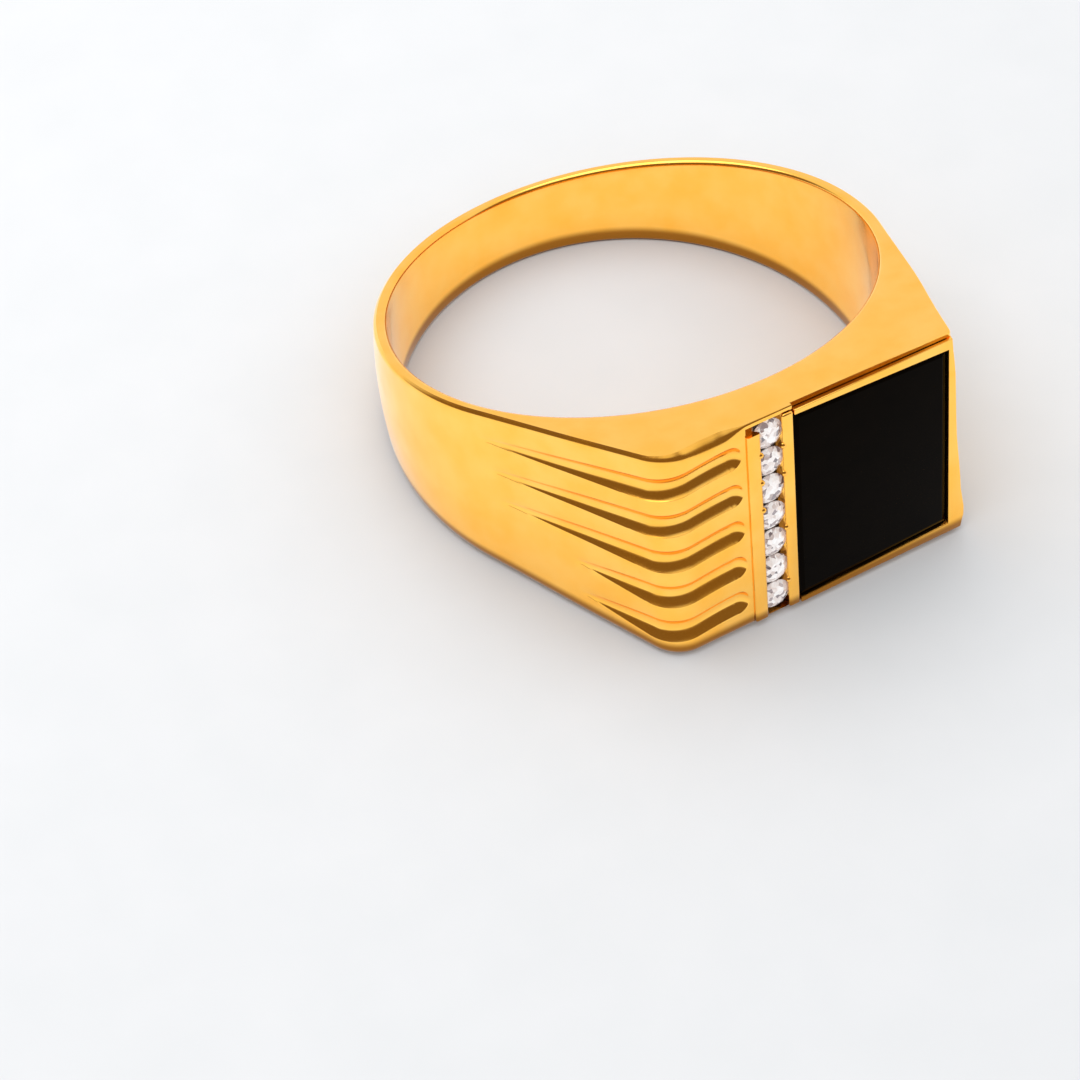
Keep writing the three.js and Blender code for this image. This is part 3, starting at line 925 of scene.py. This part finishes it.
left_beads = [stone_height(number) + STONE_PITCH / 2 for number in (3, 4, 5)]
right_beads = [stone_height(number) + STONE_PITCH / 2 for number in (0, 2, 4, 5)]
rail_left = rail("rail_left_polished", RAILS_LEFT - CLEARANCE, CHANNEL_LEFT, left_beads, -1)
rail_top = half_width(-RIM) - SIDE_PLATE - CLEARANCE - RAIL_TOP_STEP
notch = wedge("notch", RAILS_LEFT - 1, CHANNEL_LEFT + 1, RIM - 0.3, RIM + 1, -1)
move_vertices(notch, lambda x, y, z: (x, y, max(z, rail_top)))
combine(rail_left, notch)
rail_right = rail("rail_right_polished", CHANNEL_RIGHT, RAILS_RIGHT, right_beads, 1)
for piece, node_name in ((rail_left, "rail_left"), (rail_right, "rail_right")):
    smooth_edges(piece, 35)
    lay_down(piece, setting_gold, "polished_gold", node_name)

# %% [markdown]
# ## The clear stones
# The seven stones are round brilliants. A gem cutter starts from a disc and grinds one flat facet after
# another, and the bisect operator does just that: it cuts along a plane and fills the cut. One stone gets
# its 57 facets this way and is then copied, each copy turned a little, as no setter lines them up. Light
# is thrown to and fro inside a brilliant, so the eye sees a patchwork of small bright and dark pieces.
# The material draws that patchwork, and a faint light of its own stands in for what comes back out.

# %% Clear stone
FACET_WIDTH = 0.17
BEND, BEND_SIZE = 0.16, 0.35
clear_stone, tree = new_material("clear_brilliant")
place = add_node(tree, "ShaderNodeTexCoord").outputs["Object"]
bending = add_node(tree, "ShaderNodeTexNoise", {"Vector": place, "Scale": 1 / (BEND_SIZE * MM), "Detail": 1.0})
bent_place = add_node(
    tree,
    "ShaderNodeVectorMath",
    {0: bending.outputs["Color"], 1: (BEND * MM, BEND * MM, BEND * MM), 2: place},
    operation="MULTIPLY_ADD",
)
inner_facets = add_node(
    tree, "ShaderNodeTexVoronoi", {"Vector": bent_place.outputs["Vector"], "Scale": 1 / (FACET_WIDTH * MM)}
)
chance = add_node(tree, "ShaderNodeSeparateColor", {"Color": inner_facets.outputs["Color"]}).outputs["Red"]
# Painted reflections: each inner facet gets a tone from dark grey to white, and the same tones glow faintly as
# painted light.
sparkle = add_node(tree, "ShaderNodeValToRGB", {"Fac": chance})
sparkle.color_ramp.interpolation = "LINEAR"
sparkle.color_ramp.elements[0].color = linear("#5F555C")
sparkle.color_ramp.elements[1].color = linear("#FFFFFF")
for position, tone in ((0.1, "#8F8286"), (0.24, "#CDBDB8"), (0.42, "#EADFDB"), (0.7, "#FBF6F4")):
    sparkle.color_ramp.elements.new(position).color = linear(tone)
facet_relief = add_node(
    tree, "ShaderNodeBump", {"Height": inner_facets.outputs["Distance"], "Distance": 0.05 * MM, "Strength": 0.7}
)
brilliance = add_node(
    tree,
    "ShaderNodeBsdfPrincipled",
    {
        "Base Color": sparkle.outputs["Color"],
        "Roughness": 0.04,
        "IOR": 2.16,
        "Transmission Weight": 0.2,
        "Emission Color": sparkle.outputs["Color"],
        "Emission Strength": 0.15,
        "Normal": facet_relief.outputs["Normal"],
    },
)
add_node(tree, "ShaderNodeOutputMaterial", {"Surface": brilliance.outputs["BSDF"]})
print("inner facets are drawn", FACET_WIDTH, "mm wide")

# %% Cut one brilliant
RADIUS = STONE_SIZE / 2
TABLE = 0.56 * RADIUS
PAVILION_DEPTH = 0.43 * STONE_SIZE
CROWN_ANGLE, STAR_ANGLE, UPPER_GIRDLE_ANGLE = 34.5, 21, 41
PAVILION_ANGLE, LOWER_GIRDLE_ANGLE = 40.8, 42.3


def grind(stone, turn, slope, radius, height):
    """One facet: a plane through a place at that radius and height, facing out at that turn and slope."""
    turn, slope = math.radians(turn), math.radians(slope)
    outward = Vector((math.cos(turn), math.sin(turn), 0))
    normal = outward * math.sin(slope) + Vector((0, 0, math.cos(slope)))
    cut_flat(stone, outward * radius + Vector((0, 0, height)), normal, clear=True)


deselect_all()
bpy.ops.mesh.primitive_cylinder_add(vertices=32, radius=RADIUS * MM, depth=2 * PAVILION_DEPTH * MM)
brilliant = bpy.context.object
brilliant.name = "brilliant"
cut_flat(brilliant, (0, 0, HALF_GIRDLE + CROWN_HEIGHT), (0, 0, 1), clear=True)
for number in range(8):
    grind(brilliant, 45 * number, CROWN_ANGLE, RADIUS, HALF_GIRDLE)
    grind(brilliant, 45 * number, 180 - PAVILION_ANGLE, RADIUS, -HALF_GIRDLE)
for number in range(8):
    star_radius = TABLE * math.cos(math.radians(22.5))
    grind(brilliant, 45 * number + 22.5, STAR_ANGLE, star_radius, HALF_GIRDLE + CROWN_HEIGHT)
for number in range(16):
    turn = 22.5 * number + 11.25
    grind(brilliant, turn, UPPER_GIRDLE_ANGLE, RADIUS, HALF_GIRDLE * 0.7)
    grind(brilliant, turn, 180 - LOWER_GIRDLE_ANGLE, RADIUS, -HALF_GIRDLE * 0.7)
print("the brilliant has", len(brilliant.data.polygons), "facets")

# %% Set the seven stones
STONE_TURNS = [4, 17, 38, 9, 27, 33, 14]
STONE_TILTS = [3, -4, 2, 5, -3, 4, -2]
brilliant_table = HALF_GIRDLE + CROWN_HEIGHT
for number in range(STONES):
    stone = bpy.data.objects.new("brilliant_" + str(number + 1), brilliant.data.copy())
    bpy.context.scene.collection.objects.link(stone)
    middle = Vector((CHANNEL_MIDDLE, -(STONE_TABLE - brilliant_table), stone_height(number)))
    stone.data.transform(
        Matrix.Translation(middle * MM)
        @ Matrix.Rotation(math.radians(90 + STONE_TILTS[number] * 0.5), 4, "X")
        @ Matrix.Rotation(math.radians(STONE_TURNS[number]), 4, "Z")
    )
    lay_down(stone, clear_stone, "clear_stone", "stone_" + str(number + 1))
bpy.data.objects.remove(brilliant)

# %% [markdown]
# ## What stays as it is
# The drilled seat under the stones and the film of cement under the onyx are all but hidden, so the
# frame's own pieces stay, with a proper finish. No polishing wheel reaches the seat, so it is left rough.
# Its dark grey is painted shade, which shows as dark gaps round the stones.

# %% The seat and the cement
SEAT_NOISE_SIZE = 0.25
RESIN_LUMP = 0.6
seat_gold_painted_shade, tree = new_material("unpolished_gold_painted_shade")
place = add_node(tree, "ShaderNodeTexCoord").outputs["Object"]
seat_noise = add_node(tree, "ShaderNodeTexNoise", {"Vector": place, "Scale": 1 / (SEAT_NOISE_SIZE * MM), "Detail": 3.0})
# Painted shade: the seat's dark grey tones stand for the shade deep in the channel round the stones.
seat_painted_shade_tone = add_node(
    tree,
    "ShaderNodeMix",
    {0: seat_noise.outputs["Fac"], 6: linear("#8A7C70"), 7: linear("#4C454B")},
    data_type="RGBA",
)
seat_relief = add_node(
    tree, "ShaderNodeBump", {"Height": seat_noise.outputs["Fac"], "Distance": 0.01 * MM, "Strength": 0.6}
)
seat_skin = add_node(
    tree,
    "ShaderNodeBsdfPrincipled",
    {
        "Base Color": seat_painted_shade_tone.outputs[2],
        "Metallic": 0.5,
        "Roughness": 0.45,
        "Normal": seat_relief.outputs["Normal"],
    },
)
add_node(tree, "ShaderNodeOutputMaterial", {"Surface": seat_skin.outputs["BSDF"]})
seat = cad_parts["channel_seat"]
seat.data.materials.clear()
seat.data.materials.append(seat_gold_painted_shade)

resin, tree = new_material("cured_black_epoxy")
place = add_node(tree, "ShaderNodeTexCoord").outputs["Object"]
lumps = add_node(tree, "ShaderNodeTexNoise", {"Vector": place, "Scale": 1 / (RESIN_LUMP * MM), "Detail": 2.0})
resin_tone = add_node(
    tree,
    "ShaderNodeMix",
    {0: lumps.outputs["Fac"], 6: linear("#2B2925"), 7: linear("#1C1A18")},
    data_type="RGBA",
)
resin_relief = add_node(
    tree, "ShaderNodeBump", {"Height": lumps.outputs["Fac"], "Distance": 0.01 * MM, "Strength": 0.5}
)
resin_skin = add_node(
    tree,
    "ShaderNodeBsdfPrincipled",
    {
        "Base Color": resin_tone.outputs[2],
        "Roughness": 0.45,
        "IOR": 1.55,
        "Normal": resin_relief.outputs["Normal"],
    },
)
add_node(tree, "ShaderNodeOutputMaterial", {"Surface": resin_skin.outputs["BSDF"]})
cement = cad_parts["onyx_cement"]
cement.data.materials.clear()
cement.data.materials.append(resin)
print("the seat and the cement have their finish")
